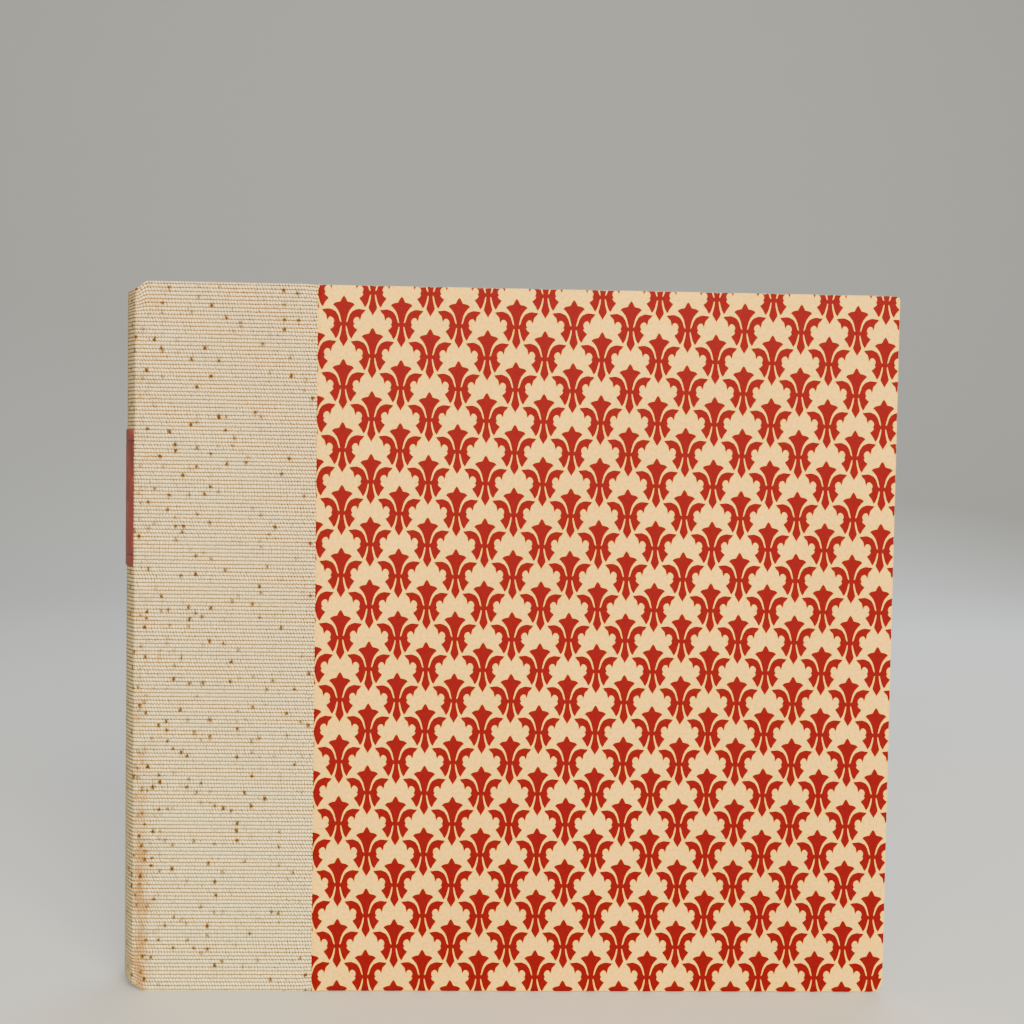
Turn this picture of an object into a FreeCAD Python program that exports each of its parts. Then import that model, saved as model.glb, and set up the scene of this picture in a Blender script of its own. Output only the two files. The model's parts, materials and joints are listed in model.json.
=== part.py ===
import FreeCAD, Part
import os
import Sketcher

# A scrapbook album in quarter binding, standing upright on the tail edges of its two covers.
# Ribbed cloth covers the spine and the near quarter of each board, and printed paper covers the rest.
# +X runs from the spine to the fore edge, the front cover faces -Y, and +Z is up.
# Every piece is drawn with X = 0 at the crease of the cover joints and Z = 0 at the tail, with the
# stub pack centred on Y = 0, and is then shifted so that the origin is the bottom centre of the album.

doc = FreeCAD.newDocument("scrapbook_album")

# ---------------------------------------------------------------- driving dimensions, in millimetres
DIMENSIONS = {
    "cover_width": 327,         # cover, from the joint crease to the fore edge
    "cover_height": 305,        # cover, from tail to head
    "board_thick": 2.6,         # grey board inside each cover
    "board_gap": 0.8,           # from the joint crease to the board
    "cloth_thick": 0.5,         # ribbed spine cloth
    "cloth_width": 76.8,        # cloth that shows on each cover
    "paper_thick": 0.3,         # printed cover paper
    "paper_lap": 4,             # how far the paper laps over the cloth
    "turn_in": 16,              # cloth and paper folded over the board's edges
    "nip_width": 3,             # corner of each board cut away beside the spine
    "nip_height": 6.5,
    "bumped_corner": 5,         # radius of the worn fore corner at the tail
    "sharp_corner": 1.5,        # radius of the fore corner at the head
    "spine_bulge": 7,           # how far the rounded spine stands out from the joints
    "spine_inset": 3.6,         # spine shorter than the boards, at head and at tail
    "spine_side_gap": 0.3,      # from the spine cloth's edge to the plane of the cover's cloth
    "cover_side_gap": 0.3,      # from the joint to the cover's own cloth
    "liner_thick": 0.8,         # card that stiffens the spine
    "liner_inset": 1.5,         # liner narrower than the spine, on each side
    "tube_ply": 0.3,            # one ply of the kraft hollow tube
    "tube_air": 0.4,            # air between the tube's plies
    "mull_thick": 0.3,          # gauze glued to the back of the stubs
    "mull_inset": 22,           # gauze shorter than the boards, at head and at tail
    "mull_flange": 27,          # gauze pasted on each board, from the joint
    "leaf_count": 12,
    "leaf_thick": 0.7,
    "guard_thick": 1.3,         # folded card strip between two leaves
    "stub_width": 24,           # from the joint to the crease where the leaves turn
    "crease_gap": 0.4,          # scored line, on each side of the leaf's axis
    "guard_inset": 1,           # guards narrower than the stubs
    "square": 4,                # cover beyond the leaves, on three sides
    "flyleaf_thick": 0.25,
    "flyleaf_hinge": 14,        # from the joint to the flyleaf's crease
    "flyleaf_gap": 0.3,         # flyleaf to its neighbours
    "flyleaf_tab": 3,           # strip of the flyleaf glued to the first guard
    "pastedown_thick": 0.2,
    "infill_thick": 0.5,        # card that levels the inside of the board
    "thread_dia": 0.5,
    "thread_run_width": 0.8,    # thread where it is pressed flat on the pack
    "thread_hole_play": 0.1,    # hole in the stubs, larger in radius than the thread
    "thread_inset": 8,          # from the joint to the sewing line
    "stitch_count": 6,
    "stitch_margin": 24,        # first and last stitch, from the ends of the stubs
    "band_dia": 1.6,            # head and tail bands
    "band_setback": 1.4,        # band's centre inside the back of the stubs
    "label_thick": 0.5,
    "label_height": 58.5,
    "label_from_head": 62.8,    # top of the cover to the top of the label
    "label_side_gap": 0.4,      # from the label to the joint, on each side
}

sheet = doc.addObject("Spreadsheet::Sheet", "Dimensions")
for row, (alias, size) in enumerate(DIMENSIONS.items(), start=1):
    sheet.set(f"A{row}", alias)
    sheet.set(f"B{row}", str(size))
    sheet.setAlias(f"B{row}", alias)
doc.recompute()


def cells(expression):
    """The expression with each dimension's name replaced by its cell in the spreadsheet."""
    words = expression.replace("(", " ( ").replace(")", " ) ").split()
    named = " ".join(f"Dimensions.{word}" if word in DIMENSIONS else word for word in words)
    return named.replace("asin (", "asin(")


# ---------------------------------------------------------------- derived sizes, as expressions
PITCH = "( leaf_thick + guard_thick )"
HALF_PACK = f"( ( leaf_count * {PITCH} + guard_thick ) / 2 )"
Y_FLYLEAF = f"( {HALF_PACK} + flyleaf_gap )"
Y_PASTEDOWN = f"( {Y_FLYLEAF} + flyleaf_thick + flyleaf_gap )"
Y_INFILL = f"( {Y_PASTEDOWN} + pastedown_thick )"
Y_BOARD_IN = f"( {Y_INFILL} + infill_thick )"
Y_BOARD_OUT = f"( {Y_BOARD_IN} + board_thick )"
Y_CLOTH = f"( {Y_BOARD_OUT} + cloth_thick )"
Y_LAP = f"( {Y_CLOTH} + paper_thick )"
SPINE_RADIUS = f"( ( {Y_CLOTH} * {Y_CLOTH} + spine_bulge * spine_bulge ) / ( 2 * spine_bulge ) )"
SPINE_CENTRE = f"( {SPINE_RADIUS} - spine_bulge )"
R_LINER = f"( {SPINE_RADIUS} - cloth_thick )"
R_TURN_IN = f"( {R_LINER} - liner_thick )"
R_TUBE = f"( {R_TURN_IN} - cloth_thick )"
R_TUBE_AIR = f"( {R_TUBE} - tube_ply )"
R_TUBE_INNER = f"( {R_TUBE_AIR} - tube_air )"
R_MULL = f"( {R_TUBE_INNER} - tube_ply )"
R_STUBS = f"( {R_MULL} - mull_thick )"
LEAF_HEIGHT = "( cover_height - 2 * square )"
MULL_HEIGHT = "( cover_height - 2 * mull_inset )"
LAP_END = "( cloth_width + paper_lap )"
LEAF_START = "( stub_width + crease_gap )"
LEAF_REACH = "( cover_width - square )"
SHIFT = "( ( spine_bulge + label_thick - cover_width ) / 2 )"
REACH = "( spine_bulge + 5 )"                    # a cutting block's reach past the spine


# ---------------------------------------------------------------- small builders
def bind(feature, **properties):
    """Binds each property to an expression; a double underscore stands for a dot."""
    for name, expression in properties.items():
        feature.setExpression(name.replace("__", "."), cells(str(expression)))
    return feature


def box(label, x, y, z, length, width, height):
    solid = doc.addObject("Part::Box", label)
    solid.Label = label
    bind(solid, Length=length, Width=width, Height=height)
    return bind(solid, Placement__Base__x=x, Placement__Base__y=y, Placement__Base__z=z)


def spine_cylinder(label, radius, z, height):
    """An upright cylinder about the axis of the spine's curve."""
    solid = doc.addObject("Part::Cylinder", label)
    solid.Label = label
    bind(solid, Radius=radius, Height=height)
    return bind(solid, Placement__Base__x=SPINE_CENTRE, Placement__Base__z=z)


def rod(label, radius, length, x, y, z, along_y=False):
    """A round rod that starts at x, y, z and runs along +Z, or along +Y."""
    solid = doc.addObject("Part::Cylinder", label)
    solid.Label = label
    if along_y:
        solid.Placement.Rotation = FreeCAD.Rotation(FreeCAD.Vector(1, 0, 0), -90)
    bind(solid, Radius=radius, Height=length)
    return bind(solid, Placement__Base__x=x, Placement__Base__y=y, Placement__Base__z=z)


def cut(label, base, tool):
    solid = doc.addObject("Part::Cut", label)
    solid.Label = label
    solid.Base, solid.Tool = base, tool
    return solid


def common(label, base, tool):
    solid = doc.addObject("Part::Common", label)
    solid.Label = label
    solid.Base, solid.Tool = base, tool
    return solid


def fuse(label, solids):
    joined = doc.addObject("Part::MultiFuse", label)
    joined.Label = label
    joined.Shapes = solids
    joined.Refine = True
    return joined


def group(label, solids):
    gathered = doc.addObject("Part::Compound", label)
    gathered.Label = label
    gathered.Links = solids
    return gathered


def mirrored(label, source):
    """The same piece on the other cover: its mirror image in the plane Y = 0."""
    copy = doc.addObject("Part::Mirroring", label)
    copy.Label = label
    copy.Source = source
    copy.Normal = FreeCAD.Vector(0, 1, 0)
    return copy


def value(expression):
    """The number that an expression gives with the sheet's present sizes."""
    return float(sheet.evalExpression(cells(expression).replace("Dimensions.", "")))


def plate(label, corners, y_front, thickness):
    """A body padded from a polygon in the XZ plane; its front face is at Y = -y_front."""
    body = doc.addObject("PartDesign::Body", label)
    body.Label = label
    sketch = body.newObject("Sketcher::SketchObject", label + "_outline")
    plane = next(f for f in body.Origin.OriginFeatures if f.Role == "XZ_Plane")
    sketch.AttachmentSupport = [(plane, "")]
    sketch.MapMode = "FlatFace"
    count = len(corners)
    start = [FreeCAD.Vector(value(x), value(z), 0) for x, z in corners]
    for k in range(count):
        sketch.addGeometry(Part.LineSegment(start[k], start[(k + 1) % count]), False)
    for k in range(count):
        sketch.addConstraint(Sketcher.Constraint("Coincident", k, 2, (k + 1) % count, 1))
    for k, corner in enumerate(corners):
        for kind, along in zip(("DistanceX", "DistanceY"), corner):
            index = sketch.addConstraint(Sketcher.Constraint(kind, k, 1, value(along)))
            sketch.setExpression(f"Constraints[{index}]", cells(along))
    pad = body.newObject("PartDesign::Pad", label + "_pad")
    pad.Profile = sketch
    bind(pad, Length=thickness)
    bind(body, Placement__Base__y=f"{thickness} - {y_front}")
    return body


def round_corner(body, x, z, radius):
    """Rounds the plate's corner at x, z."""
    doc.recompute()
    before = body.Tip
    for number, edge in enumerate(before.Shape.Edges, start=1):
        ends = [vertex.Point for vertex in edge.Vertexes]
        if len(ends) == 2 and all(abs(p.x - value(x)) + abs(p.z - value(z)) < 0.01 for p in ends):
            fillet = body.newObject("PartDesign::Fillet", f"{body.Label}_corner")
            fillet.Base = (before, [f"Edge{number}"])
            bind(fillet, Radius=radius)
            body.Tip = fillet
            return
    raise RuntimeError(f"{body.Label} has no corner at {x}, {z}")


def cover_outline(left, right, bottom):
    """A cover's corners, with the head and tail corners beside the spine nipped off."""
    top = f"( cover_height - {bottom} )"
    return [
        (left, f"( nip_height + {bottom} )"),
        (f"( nip_width + {left} )", bottom),
        (right, bottom),
        (right, top),
        (f"( nip_width + {left} )", top),
        (left, f"( {top} - nip_height )"),
    ]


def rounded_fore_corners(body, right, bottom, grown):
    """Rounds both fore corners; grown is how far this layer lies outside the board."""
    round_corner(body, right, bottom, f"( bumped_corner + {grown} )")
    round_corner(body, right, f"( cover_height - {bottom} )", f"( sharp_corner + {grown} )")


# ---------------------------------------------------------------- the front cover
def front_board():
    """Grey board, with its head and tail corners nipped off beside the spine."""
    right = "( cover_width - paper_thick )"
    corners = cover_outline("board_gap", right, "cloth_thick")
    board = plate("front_board", corners, Y_BOARD_OUT, "board_thick")
    rounded_fore_corners(board, right, "cloth_thick", "0")
    return board


def inner_window(label, start, length):
    """The part of a cover's inner face that the turn-ins leave bare."""
    height = "( cover_height - 2 * turn_in )"
    depth = f"( {Y_BOARD_IN} - {Y_PASTEDOWN} + 1 )"
    return box(label, start, f"( 0 - {Y_BOARD_IN} )", "turn_in", length, depth, height)


def front_cloth(board):
    """Ribbed cloth over the near quarter of the board, turned in at head and tail."""
    corners = cover_outline("cover_side_gap", LAP_END, "0")
    wrap = f"( {Y_CLOTH} - {Y_INFILL} )"
    blank = plate("front_cloth_blank", corners, Y_CLOTH, wrap)
    folded = cut("front_cloth_folded", blank, board)
    window = inner_window("front_cloth_window", "-1", f"( {LAP_END} + 2 )")
    opened = cut("front_cloth_opened", folded, window)
    past_board = box("front_cloth_spine_edge", "-1", f"( 0 - {Y_BOARD_OUT} )", "-1",
                     "( board_gap + 1 )", f"( {wrap} + 1 )", "( cover_height + 2 )")
    return cut("front_cloth", opened, past_board)


def front_paper(board):
    """Printed paper over the rest of the board, turned in on three edges and lapped over the cloth."""
    edge = "( cloth_thick - paper_thick )"
    height = f"( cover_height - 2 * {edge} )"
    corners = [(LAP_END, edge), ("cover_width", edge),
               ("cover_width", f"( cover_height - {edge} )"), (LAP_END, f"( cover_height - {edge} )")]
    blank = plate("front_paper_blank", corners, f"( {Y_BOARD_OUT} + paper_thick )",
                  "( board_thick + 2 * paper_thick )")
    rounded_fore_corners(blank, "cover_width", edge, "paper_thick")
    folded = cut("front_paper_folded", blank, board)
    window = inner_window("front_paper_window", f"( {LAP_END} - 1 )",
                          f"( cover_width - turn_in - {LAP_END} + 1 )")
    opened = cut("front_paper_opened", folded, window)
    lap = box("front_paper_lap", "cloth_width", f"( 0 - {Y_LAP} )", edge,
              "( paper_lap + paper_thick )", "paper_thick", height)
    riser = box("front_paper_riser", LAP_END, f"( 0 - {Y_LAP} )", edge,
                "paper_thick", f"( {Y_LAP} - {Y_BOARD_OUT} )", height)
    return fuse("front_paper", [opened, lap, riser])


def front_mull_flange():
    """The gauze's flap, pasted to the board under the pastedown."""
    return box("front_mull_flange", "board_gap", f"( 0 - {Y_BOARD_IN} )", "mull_inset",
               "( mull_flange - board_gap )", "mull_thick", MULL_HEIGHT)


def front_infill():
    """Card that levels the board's inner face with the turn-ins."""
    return box("front_infill", "mull_flange", f"( 0 - {Y_BOARD_IN} )", "turn_in",
               "( cover_width - turn_in - mull_flange )", "infill_thick",
               "( cover_height - 2 * turn_in )")


def front_pastedown():
    """The endpaper's pasted half."""
    return box("front_pastedown", "board_gap", f"( 0 - {Y_INFILL} )", "square",
               f"( {LEAF_REACH} - board_gap )", "pastedown_thick", LEAF_HEIGHT)


# ---------------------------------------------------------------- the spine of the case
def curved_strip(label, outer, inner, half_width, z, height, reach="0"):
    """A strip of the spine's curve between two radii, twice half_width wide and ending at X = reach."""
    full = spine_cylinder(label + "_outer", outer, z, height)
    slab = box(label + "_slab", f"( 0 - {REACH} )", f"( 0 - ( {half_width} ) )", z,
               f"( {REACH} + {reach} )", f"( 2 * ( {half_width} ) )", height)
    kept = common(label + "_kept", full, slab)
    hollow = spine_cylinder(label + "_inner", inner, f"( {z} - 1 )", f"( {height} + 2 )")
    return cut(label, kept, hollow)


def spine_cloth():
    """Cloth round the spine: its face, the folds at head and tail, and the turned-in ends."""
    height = "( cover_height - 2 * spine_inset )"
    half = f"( {Y_CLOTH} - spine_side_gap )"
    half_liner = f"( {Y_CLOTH} - liner_inset )"
    face = curved_strip("spine_cloth_face", SPINE_RADIUS, R_LINER, half, "spine_inset", height)
    head = f"( cover_height - spine_inset )"
    parts = [face]
    for end, fold_z, turned_z in (
        ("tail", "spine_inset", "spine_inset"),
        ("head", f"( {head} - cloth_thick )", f"( {head} - turn_in )"),
    ):
        parts.append(curved_strip(f"spine_cloth_{end}_fold", R_LINER, R_TUBE, half_liner,
                                  fold_z, "cloth_thick"))
        parts.append(curved_strip(f"spine_cloth_{end}_turned", R_TURN_IN, R_TUBE, half_liner,
                                  turned_z, "turn_in"))
    return fuse("spine_cloth", parts)


def spine_liner():
    """Card strip that holds the spine's curve."""
    return curved_strip("spine_liner", R_LINER, R_TURN_IN, f"( {Y_CLOTH} - liner_inset )",
                        "( spine_inset + cloth_thick )",
                        "( cover_height - 2 * spine_inset - 2 * cloth_thick )")


def hollow_tube():
    """Kraft tube between the stubs and the spine: two plies with air between them."""
    half = HALF_PACK
    height = "( cover_height - 2 * square - 6 )"
    z = "( square + 3 )"
    outline = curved_strip("hollow_tube_outline", R_TUBE, R_MULL, half, z, height)
    air = curved_strip("hollow_tube_air", R_TUBE_AIR, R_TUBE_INNER, f"( {half} - tube_ply )",
                       f"( {z} - 1 )", f"( {height} + 2 )")
    return cut("hollow_tube", outline, air)


def mull():
    """Gauze glued over the back of the stubs."""
    return curved_strip("mull", R_MULL, R_STUBS, HALF_PACK, "mull_inset", MULL_HEIGHT, "stub_width")


def spine_label():
    """Leather label across the full width of the spine."""
    return curved_strip("spine_label", f"( {SPINE_RADIUS} + label_thick )", SPINE_RADIUS,
                        f"( {Y_CLOTH} - label_side_gap )",
                        "( cover_height - label_from_head - label_height )", "label_height")


# ---------------------------------------------------------------- the sewn pack of stubs
def leaf_y(index):
    """Centre of a leaf, numbered from 1 at the front."""
    return f"( {index} * {PITCH} - leaf_thick / 2 - {HALF_PACK} )"


def stitch_z(index):
    """Height of a stitch hole, numbered from 0 at the tail."""
    run = f"( {LEAF_HEIGHT} - 2 * stitch_margin )"
    return f"( square + stitch_margin + {index} * {run} / ( stitch_count - 1 ) )"


def sewn(label, blanks):
    """Strips trimmed to the rounded back and pierced for the thread."""
    back = spine_cylinder(label + "_round_back", R_STUBS, "-1", "( cover_height + 2 )")
    rounded = common(label + "_rounded", group(label + "_blanks", blanks), back)
    holes = [
        rod(f"{label}_hole_{k}", "( thread_dia / 2 + thread_hole_play )", f"( 2 * {HALF_PACK} + 2 )",
            "thread_inset", f"( 0 - {HALF_PACK} - 1 )", stitch_z(k), along_y=True)
        for k in range(int(DIMENSIONS["stitch_count"]))
    ]
    return cut(label, rounded, group(label + "_holes", holes))


def leaf_stubs():
    """The bound strip of every leaf, up to its scored line."""
    blanks = [
        box(f"stub_{k:02d}_blank", f"( 0 - {REACH} )", f"( {leaf_y(k)} - leaf_thick / 2 )", "square",
            f"( {REACH} + stub_width - crease_gap )", "leaf_thick", LEAF_HEIGHT)
        for k in range(1, int(DIMENSIONS["leaf_count"]) + 1)
    ]
    return sewn("leaf_stubs", blanks)


def guards():
    """Folded card strips that space the leaves, so that the album stays level when it is filled."""
    blanks = [
        box(f"guard_{k:02d}_blank", f"( 0 - {REACH} )", f"( {k} * {PITCH} - {HALF_PACK} )", "square",
            f"( {REACH} + stub_width - crease_gap - guard_inset )", "guard_thick", LEAF_HEIGHT)
        for k in range(int(DIMENSIONS["leaf_count"]) + 1)
    ]
    return sewn("guards", blanks)


def sewing_thread():
    """Linen thread through every stub, with a run pressed flat against both faces of the pack."""
    radius = "( thread_dia / 2 )"
    half_run = "( thread_run_width / 2 )"
    last = int(DIMENSIONS["stitch_count"]) - 1
    pieces = [
        rod(f"thread_through_{k}", radius, f"( 2 * {HALF_PACK} + thread_dia )",
            "thread_inset", f"( 0 - {HALF_PACK} - {radius} )", stitch_z(k), along_y=True)
        for k in range(last + 1)
    ]
    for side, y in (("front", f"( 0 - {HALF_PACK} - thread_dia )"), ("back", HALF_PACK)):
        pieces.append(box(f"thread_run_{side}", f"( thread_inset - {half_run} )", y,
                          f"( {stitch_z(0)} - {half_run} )", "thread_run_width", "thread_dia",
                          f"( {stitch_z(last)} - {stitch_z(0)} + thread_run_width )"))
    return fuse("sewing_thread", pieces)


def end_band(label, z):
    """Silk band over a cord core, along the rounded back at the head or the tail."""
    band = doc.addObject("Part::Torus", label)
    band.Label = label
    ring = f"( {R_STUBS} - band_setback )"
    sweep = f"( 2 * asin( ( {HALF_PACK} - band_dia / 2 ) / {ring} ) )"
    band.Placement.Rotation = FreeCAD.Rotation(FreeCAD.Vector(0, 0, 1), 180)
    bind(band, Radius1=ring, Radius2="( band_dia / 2 )", Angle3=sweep)
    bind(band, Placement__Base__x=SPINE_CENTRE, Placement__Base__z=z)
    bind(band, Placement__Rotation__Angle=f"( 180 deg - {sweep} / 2 )")
    return band


# ---------------------------------------------------------------- the leaves that turn
def leaf(index):
    """One blank leaf, free beyond its scored line."""
    return box(f"leaf_{index:02d}", LEAF_START, f"( {leaf_y(index)} - leaf_thick / 2 )", "square",
               f"( {LEAF_REACH} - {LEAF_START} )", "leaf_thick", LEAF_HEIGHT)


def front_flyleaf():
    """The endpaper's free half."""
    return box("front_flyleaf", "( flyleaf_hinge + crease_gap )", f"( 0 - {Y_FLYLEAF} - flyleaf_thick )",
               "square", f"( {LEAF_REACH} - flyleaf_hinge - crease_gap )", "flyleaf_thick", LEAF_HEIGHT)


def front_flyleaf_tab():
    """The flyleaf's strip tipped to the first guard, behind its crease."""
    return box("front_flyleaf_tab", "( flyleaf_hinge - crease_gap - flyleaf_tab )",
               f"( 0 - {Y_FLYLEAF} - flyleaf_thick )", "square",
               "flyleaf_tab", f"( {Y_FLYLEAF} + flyleaf_thick - {HALF_PACK} )", LEAF_HEIGHT)


def build():
    """Every piece of the album, by the name of its node."""
    board = front_board()
    front = [board, front_cloth(board), front_paper(board), front_mull_flange(), front_infill(),
             front_pastedown(), front_flyleaf(), front_flyleaf_tab()]
    pack = [spine_cloth(), spine_liner(), hollow_tube(), mull(), spine_label(), leaf_stubs(),
            guards(), sewing_thread()]
    pack.append(end_band("headband", "( cover_height - square + band_dia / 2 )"))
    pack.append(end_band("tailband", "( square - band_dia / 2 )"))
    pack += [leaf(k) for k in range(1, int(DIMENSIONS["leaf_count"]) + 1)]
    back = [mirrored(piece.Label.replace("front", "back"), piece) for piece in front]
    return front + pack + back


def export(pieces):
    """Checks every object, shifts each piece to the album's frame and writes its STEP file."""
    doc.recompute()
    faulty = [o.Label for o in doc.Objects if "Invalid" in o.State or "Error" in o.State]
    if faulty:
        raise RuntimeError(f"failed features: {faulty}")
    shift = FreeCAD.Vector(value(SHIFT), 0, 0)
    os.makedirs("parts", exist_ok=True)
    for piece in pieces:
        shape = piece.Shape.copy()
        if shape.isNull() or not shape.isValid() or not shape.Solids:
            raise RuntimeError(f"{piece.Label} has no valid solid")
        shape.translate(shift)
        shape.exportStep(f"parts/{piece.Label}.step")
        print(f"{piece.Label}: {len(shape.Solids)} solids, {shape.Volume / 1000:.2f} cm3")


export(build())
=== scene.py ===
import json
from functools import partial
from math import asin, ceil, cos, exp, pi, radians, sin, sqrt

import bpy
from mathutils import Matrix, Vector, noise

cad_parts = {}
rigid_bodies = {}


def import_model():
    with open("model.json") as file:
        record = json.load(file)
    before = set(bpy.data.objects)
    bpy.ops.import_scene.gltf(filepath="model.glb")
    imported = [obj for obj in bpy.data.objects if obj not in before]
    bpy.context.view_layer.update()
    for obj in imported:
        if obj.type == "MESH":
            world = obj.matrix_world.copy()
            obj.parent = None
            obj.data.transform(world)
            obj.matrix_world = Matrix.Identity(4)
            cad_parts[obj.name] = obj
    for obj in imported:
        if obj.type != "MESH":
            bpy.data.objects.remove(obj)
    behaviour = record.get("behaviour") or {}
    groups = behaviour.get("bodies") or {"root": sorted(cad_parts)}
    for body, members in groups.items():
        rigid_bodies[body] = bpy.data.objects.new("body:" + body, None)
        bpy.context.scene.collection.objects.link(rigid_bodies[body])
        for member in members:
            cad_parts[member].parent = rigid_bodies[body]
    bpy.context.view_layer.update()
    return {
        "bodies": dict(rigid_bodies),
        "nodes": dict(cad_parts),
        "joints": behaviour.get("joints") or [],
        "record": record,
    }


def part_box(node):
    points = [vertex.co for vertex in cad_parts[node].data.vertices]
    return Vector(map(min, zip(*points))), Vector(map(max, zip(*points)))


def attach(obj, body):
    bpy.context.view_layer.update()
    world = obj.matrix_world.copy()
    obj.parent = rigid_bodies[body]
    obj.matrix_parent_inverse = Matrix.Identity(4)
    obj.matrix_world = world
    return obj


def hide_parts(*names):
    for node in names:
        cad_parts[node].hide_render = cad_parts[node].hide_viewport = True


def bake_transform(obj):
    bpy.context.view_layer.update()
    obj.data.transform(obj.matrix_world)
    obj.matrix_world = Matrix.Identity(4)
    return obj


bl_info = {
    "name": "Quarter-bound scrapbook album",
    "version": (1, 0, 0),
    "blender": (4, 5, 0),
    "location": "3D View > Sidebar > Album",
    "description": "Cloth, paper, leather and card for a quarter-bound album, around its working model",
    "category": "Object",
}

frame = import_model()

MM = 0.001

# ---------------- places read from the frame
HINGE = {joint["child"]: joint for joint in frame["joints"]}
JOINT_X = HINGE["front_cover"]["pos_m"][0]
CLOTH_LOW, CLOTH_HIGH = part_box("front_cloth")
PAPER_LOW, PAPER_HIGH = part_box("front_paper")
BOARD_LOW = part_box("front_board")[0]
PASTE_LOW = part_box("front_pastedown")[0]
SPINE_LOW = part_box("spine_cloth")[0]
LABEL_LOW, LABEL_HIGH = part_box("spine_label")
HEAD = CLOTH_HIGH.z  # height of the covers
CLOTH_Y = -CLOTH_LOW.y  # outer face of the cover's cloth
TURN_IN_Y = -PASTE_LOW.y  # inner face of the turn-ins
BULGE = JOINT_X - SPINE_LOW.x
SPINE_R = (CLOTH_Y ** 2 + BULGE ** 2) / (2 * BULGE)
SPINE_X = JOINT_X - BULGE + SPINE_R  # axis of the spine's curve
SPINE_HALF_ANGLE = asin(CLOTH_Y / SPINE_R)
SIDES = {"front": -1, "back": 1}
LEAVES = sorted(name for name in frame["bodies"] if name.startswith("leaf_"))


# ---------------- sizes and colours a user would change
def length(name, description, default, **limits):
    """A length a user can change, given in millimetres."""
    return bpy.props.FloatProperty(name=name, description=description, default=default * MM, unit="LENGTH",
                                   **limits)


def colour(name, description, default):
    """A colour a user can change, as sRGB hex."""
    return bpy.props.StringProperty(name=name + " colour", description=description + ", as sRGB hex",
                                    default=default)


class AlbumClothSettings(bpy.types.PropertyGroup):
    rib_pitch: length("Rib pitch", "From one rib of the cloth to the next", 1.63, min=0.5 * MM)
    rib_depth: length("Rib depth", "From a rib's crest to the groove beside it", 0.3, min=0)
    slub_length: length("Thread step", "Length of one warp float along a rib", 1.25, min=0.2 * MM)
    crest: colour("Crest", "Cream of the ribs", "fff4c6")
    # Groove: the cream darkened as painted shade between the ribs.
    groove: colour("Groove", "Soiled cream between the ribs", "5a3f1c")
    foxing: colour("Foxing", "Rust-brown age spots", "57340f")
    stain: colour("Stain", "Golden brown tide mark along the joint", "8f5f24")


class AlbumPaperSettings(bpy.types.PropertyGroup):
    repeat_across: length("Repeat across", "Width of one repeat of the printed pattern", 24.55, min=5 * MM)
    repeat_up: length("Repeat up", "Height of one repeat of the printed pattern", 26.84, min=5 * MM)
    first_column: length("First column", "From the paper's edge to the first whole column of motifs", 10.95)
    first_tip: length("First tip", "From the head of the cover down to that column's first tip", 4.25)
    ink: colour("Ink", "Red printing ink", "6e0309")
    ground: colour("Ground", "Golden kraft ground", "ffc64c")


class AlbumBlockSettings(bpy.types.PropertyGroup):
    card: colour("Leaf", "Cream card of the leaves", "d9c9a6")
    endpaper: colour("Endpaper", "Laid endpaper", "dccdab")
    leather: colour("Label", "Oxblood leather of the spine label", "6b2a20")
    sag: length("Leaf wave", "How far a leaf strays from flat", 0.25, min=0)


class AlbumStageSettings(bpy.types.PropertyGroup):
    lens: bpy.props.FloatProperty(
        name="Lens", description="Focal length on a 36 mm sensor, in millimetres", default=45.0, min=10)
    floor: colour("Floor", "Plain pale floor", "c9cccb")


# ---------------- colours and nodes
def linear(hex_colour, alpha=1.0):
    """An sRGB hex colour as linear red, green, blue and alpha."""
    parts = [int(hex_colour[i:i + 2], 16) / 255 for i in (0, 2, 4)]
    return [c / 12.92 if c <= 0.04045 else ((c + 0.055) / 1.055) ** 2.4 for c in parts] + [alpha]


def shade(colour, factor):
    """A colour made darker or lighter by a factor."""
    return [min(1, c * factor) for c in colour[:3]] + [1]


def fill(node, inputs):
    """Sets a node's inputs, by name or in order, each to a value or by a link from a socket."""
    for key, value in inputs.items() if isinstance(inputs, dict) else enumerate(inputs):
        if isinstance(value, bpy.types.NodeSocket):
            node.id_data.links.new(value, node.inputs[key])
        else:
            node.inputs[key].default_value = value


def add(tree, kind, inputs=(), out=0, **settings):
    """Adds a node with its settings and inputs, and returns one of its output sockets. A shader node's
    kind is given without its prefix, and may be followed by its operation."""
    kind, _, operation = kind.partition(" ")
    node = tree.nodes.new(kind if "Node" in kind else "ShaderNode" + kind)
    if operation:
        settings["operation"] = operation
    for key, value in settings.items():
        setattr(node, key, value)
    fill(node, inputs)
    return node.outputs[out] if node.outputs else node


def new_group(name, kind, takes, gives):
    """A node group with named sockets, what adds nodes to it, and the outputs of its input node."""
    tree = bpy.data.node_groups.new(name, kind + "NodeTree")
    for in_out, sockets in (("INPUT", takes), ("OUTPUT", gives)):
        for label, sort in sockets.items():
            tree.interface.new_socket(label, in_out=in_out, socket_type="NodeSocket" + sort)
    return tree, partial(add, tree), tree.nodes.new("NodeGroupInput").outputs


def surface(name, **fixed):
    """A new material, what adds nodes to it, and its Principled surface with its uniform sockets set."""
    material = bpy.data.materials.new(name)
    material.use_nodes = True
    shader = material.node_tree.nodes["Principled BSDF"]
    fill(shader, {key.replace("_", " "): value for key, value in fixed.items()})
    return material, partial(add, material.node_tree), shader


def relief(shader, height, distance):
    """Turns a height field into the surface's normals."""
    bump = add(shader.id_data, "Bump", {"Height": height, "Distance": distance, "Strength": 1.0})
    fill(shader, {"Normal": bump})


def stops(socket, *points):
    """Sets a colour ramp's stops from pairs of place and colour, and returns its socket."""
    elements = socket.node.color_ramp.elements
    while len(elements) < len(points):
        elements.new(0.5)
    for element, (place, colour) in zip(elements, points):
        element.position, element.color = place, colour
    return socket


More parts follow.
